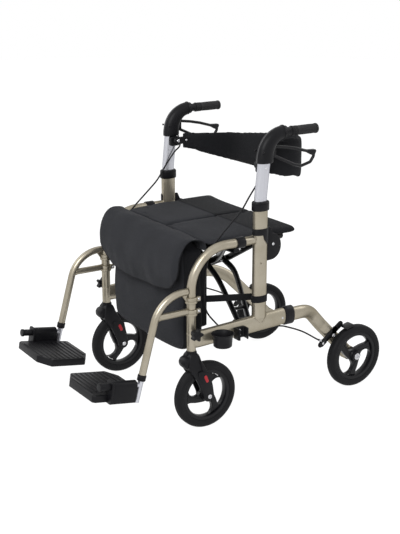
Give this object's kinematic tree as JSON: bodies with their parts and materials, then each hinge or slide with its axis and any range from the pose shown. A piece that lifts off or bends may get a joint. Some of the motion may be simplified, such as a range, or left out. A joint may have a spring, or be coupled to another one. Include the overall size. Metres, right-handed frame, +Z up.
{
  "type": "rollator",
  "caption": "Folding rollator that is also a transport chair: cross-braced frame, padded seat, bag, backrest band, swing-away legrests and hand brakes.",
  "frame": {"origin": "on the floor, under the middle of the bounding box", "axes": "+Z up, -Y the way the rollator is pushed, +X to the left of the person who pushes it"},
  "size_m": [0.6268, 1.0218, 0.8578],
  "materials": {
    "champagne_frame": "champagne metallic lacquer",
    "silver_tube": "polished, clear anodised",
    "black_plastic": "fine grain, satin",
    "black_metal": "black powder coat",
    "grip_rubber": "soft, matt",
    "tyre": "solid tread, matt",
    "nylon": "woven nylon, backed",
    "cable_sheath": "smooth sheath"
  },
  "bodies": {
    "left_frame": {"left_lower_rail": "champagne_frame", "left_upright": "champagne_frame", "left_front_loop": "champagne_frame", "left_rear_leg": "champagne_frame", "left_upright_collar": "black_plastic", "left_rail_collar": "black_plastic", "left_seat_clip": "black_plastic", "left_seat_bracket": "black_plastic", "left_brake_cable": "cable_sheath", "bag": "nylon", "cane_cup": "black_plastic", "cane_clip": "black_plastic"},
    "brace_a": {"brace_from_left": "black_metal"},
    "brace_b": {"brace_from_right": "black_metal"},
    "right_frame": {"right_lower_rail": "champagne_frame", "right_upright": "champagne_frame", "right_front_loop": "champagne_frame", "right_rear_leg": "champagne_frame", "right_upright_collar": "black_plastic", "right_rail_collar": "black_plastic", "right_seat_clip": "black_plastic", "right_seat_bracket": "black_plastic", "right_brake_cable": "cable_sheath"},
    "left_seat_half": {"left_seat": "nylon"},
    "right_seat_half": {"right_seat": "nylon"},
    "left_handle": {"left_handle_post": "silver_tube", "left_handle_bracket": "black_plastic", "left_grip": "grip_rubber", "left_backrest_bracket": "black_plastic"},
    "right_handle": {"right_handle_post": "silver_tube", "right_handle_bracket": "black_plastic", "right_grip": "grip_rubber", "right_backrest_bracket": "black_plastic"},
    "left_lever": {"left_brake_lever": "black_metal"},
    "right_lever": {"right_brake_lever": "black_metal"},
    "left_brake": {"left_brake_arm": "black_metal"},
    "right_brake": {"right_brake_arm": "black_metal"},
    "left_caster": {"left_fork": "black_plastic"},
    "right_caster": {"right_fork": "black_plastic"},
    "left_front_wheel": {"left_front_rim": "black_plastic", "left_front_tyre": "tyre"},
    "right_front_wheel": {"right_front_rim": "black_plastic", "right_front_tyre": "tyre"},
    "left_rear_wheel": {"left_rear_rim": "black_plastic", "left_rear_tyre": "tyre"},
    "right_rear_wheel": {"right_rear_rim": "black_plastic", "right_rear_tyre": "tyre"},
    "left_legrest_hanger": {"left_hanger": "champagne_frame", "left_hanger_collar": "black_plastic"},
    "right_legrest_hanger": {"right_hanger": "champagne_frame", "right_hanger_collar": "black_plastic"},
    "left_legrest": {"left_legrest_tube": "silver_tube", "left_legrest_plug": "black_plastic"},
    "right_legrest": {"right_legrest_tube": "silver_tube", "right_legrest_plug": "black_plastic"},
    "left_foot": {"left_footplate": "black_plastic"},
    "right_foot": {"right_footplate": "black_plastic"},
    "left_knob": {"left_star_knob": "black_plastic"},
    "right_knob": {"right_star_knob": "black_plastic"},
    "backrest": {"backrest_band": "nylon"}
  },
  "joints": [
    {"name": "frame_fold", "type": "hinge", "parent": "left_frame", "child": "brace_a", "pos_m": [0.2034, 0.00489, 0.285], "axis": [0, 1, 0], "range_deg": [0, 48], "deforming": ["bag", "backrest_band", "left_seat", "right_seat"]},
    {"name": "brace_cross", "type": "hinge", "parent": "brace_a", "child": "brace_b", "pos_m": [-0.0216, 0.00489, 0.405], "axis": [0, 1, 0], "range_deg": [-96, 0]},
    {"name": "right_frame_fold", "type": "hinge", "parent": "brace_b", "child": "right_frame", "pos_m": [-0.2466, 0.00489, 0.285], "axis": [0, 1, 0], "range_deg": [0, 48]},
    {"name": "left_seat_fold", "type": "hinge", "parent": "brace_b", "child": "left_seat_half", "pos_m": [0.1734, 0.00489, 0.518], "axis": [0, 1, 0], "range_deg": [0, 117.8]},
    {"name": "right_seat_fold", "type": "hinge", "parent": "left_seat_half", "child": "right_seat_half", "pos_m": [-0.0216, 0.00489, 0.54025], "axis": [0, 1, 0], "range_deg": [-139.5, 0]},
    {"name": "left_handle_slide", "type": "slide", "parent": "left_frame", "child": "left_handle", "axis": [0, 0, 1], "range_m": [0, 0.1], "deforming": ["left_brake_cable"]},
    {"name": "right_handle_slide", "type": "slide", "parent": "right_frame", "child": "right_handle", "axis": [0, 0, 1], "range_m": [0, 0.1], "deforming": ["right_brake_cable"]},
    {"name": "left_lever_pull", "type": "hinge", "parent": "left_handle", "child": "left_lever", "pos_m": [0.2324, 0.07289, 0.79], "axis": [1, 0, 0], "range_deg": [0, 12], "stiffness_Nm_per_rad": 0.5},
    {"name": "right_lever_pull", "type": "hinge", "parent": "right_handle", "child": "right_lever", "pos_m": [-0.2756, 0.07289, 0.79], "axis": [1, 0, 0], "range_deg": [0, 12], "stiffness_Nm_per_rad": 0.5},
    {"name": "left_brake_press", "type": "hinge", "parent": "left_frame", "child": "left_brake", "pos_m": [0.2105, 0.34089, 0.174], "axis": [1, 0, 0], "range_deg": [-1.2, 0]},
    {"name": "right_brake_press", "type": "hinge", "parent": "right_frame", "child": "right_brake", "pos_m": [-0.2537, 0.34089, 0.174], "axis": [1, 0, 0], "range_deg": [-1.2, 0]},
    {"name": "left_caster_swivel", "type": "hinge", "parent": "left_frame", "child": "left_caster", "pos_m": [0.2324, -0.19511, 0.243], "axis": [0, 0, 1], "continuous": true},
    {"name": "right_caster_swivel", "type": "hinge", "parent": "right_frame", "child": "right_caster", "pos_m": [-0.2756, -0.19511, 0.243], "axis": [0, 0, 1], "continuous": true},
    {"name": "left_front_wheel_spin", "type": "hinge", "parent": "left_caster", "child": "left_front_wheel", "pos_m": [0.2324, -0.14911, 0.1], "axis": [1, 0, 0], "continuous": true},
    {"name": "right_front_wheel_spin", "type": "hinge", "parent": "right_caster", "child": "right_front_wheel", "pos_m": [-0.2756, -0.14911, 0.1], "axis": [1, 0, 0], "continuous": true},
    {"name": "left_rear_wheel_spin", "type": "hinge", "parent": "left_frame", "child": "left_rear_wheel", "pos_m": [0.227, 0.41089, 0.1], "axis": [1, 0, 0], "continuous": true},
    {"name": "right_rear_wheel_spin", "type": "hinge", "parent": "right_frame", "child": "right_rear_wheel", "pos_m": [-0.2702, 0.41089, 0.1], "axis": [1, 0, 0], "continuous": true},
    {"name": "left_hanger_swing", "type": "hinge", "parent": "left_frame", "child": "left_legrest_hanger", "pos_m": [0.2324, -0.19511, 0.361], "axis": [0, 0, 1], "range_deg": [0, 90]},
    {"name": "right_hanger_swing", "type": "hinge", "parent": "right_frame", "child": "right_legrest_hanger", "pos_m": [-0.2756, -0.19511, 0.361], "axis": [0, 0, -1], "range_deg": [0, 90]},
    {"name": "left_legrest_slide", "type": "slide", "parent": "left_legrest_hanger", "child": "left_legrest", "axis": [0, -0.2689, -0.9632], "range_m": [0, 0.05]},
    {"name": "right_legrest_slide", "type": "slide", "parent": "right_legrest_hanger", "child": "right_legrest", "axis": [0, -0.2689, -0.9632], "range_m": [0, 0.05]},
    {"name": "left_footplate_flip", "type": "hinge", "parent": "left_legrest", "child": "left_foot", "pos_m": [0.2324, -0.41511, 0.1845], "axis": [0, 0.9877, -0.1564], "range_deg": [0, 90]},
    {"name": "right_footplate_flip", "type": "hinge", "parent": "right_legrest", "child": "right_foot", "pos_m": [-0.2756, -0.41511, 0.1845], "axis": [0, -0.9877, 0.1564], "range_deg": [0, 90]},
    {"name": "left_knob_turn", "type": "hinge", "parent": "left_frame", "child": "left_knob", "pos_m": [0.2454, -0.19511, 0.298], "axis": [1, 0, 0], "continuous": true},
    {"name": "right_knob_turn", "type": "hinge", "parent": "right_frame", "child": "right_knob", "pos_m": [-0.2886, -0.19511, 0.298], "axis": [-1, 0, 0], "continuous": true},
    {"name": "backrest_flip", "type": "hinge", "parent": "left_handle", "child": "backrest", "pos_m": [0.2074, 0.05189, 0.744], "axis": [1, 0, 0], "range_deg": [0, 170]}
  ],
  "couplings": [
    {"joint": "brace_cross", "follows": "frame_fold", "ratio": -2},
    {"joint": "right_frame_fold", "follows": "frame_fold", "ratio": 1},
    {"joint": "left_seat_fold", "follows": "frame_fold", "ratio": 2.452},
    {"joint": "right_seat_fold", "follows": "frame_fold", "ratio": -2.904},
    {"joint": "left_footplate_flip", "follows": "frame_fold", "ratio": 1.875},
    {"joint": "right_footplate_flip", "follows": "frame_fold", "ratio": 1.875},
    {"joint": "right_handle_slide", "follows": "left_handle_slide", "ratio": 1},
    {"joint": "left_brake_press", "follows": "left_lever_pull", "ratio": -0.1},
    {"joint": "right_brake_press", "follows": "right_lever_pull", "ratio": -0.1}
  ]
}
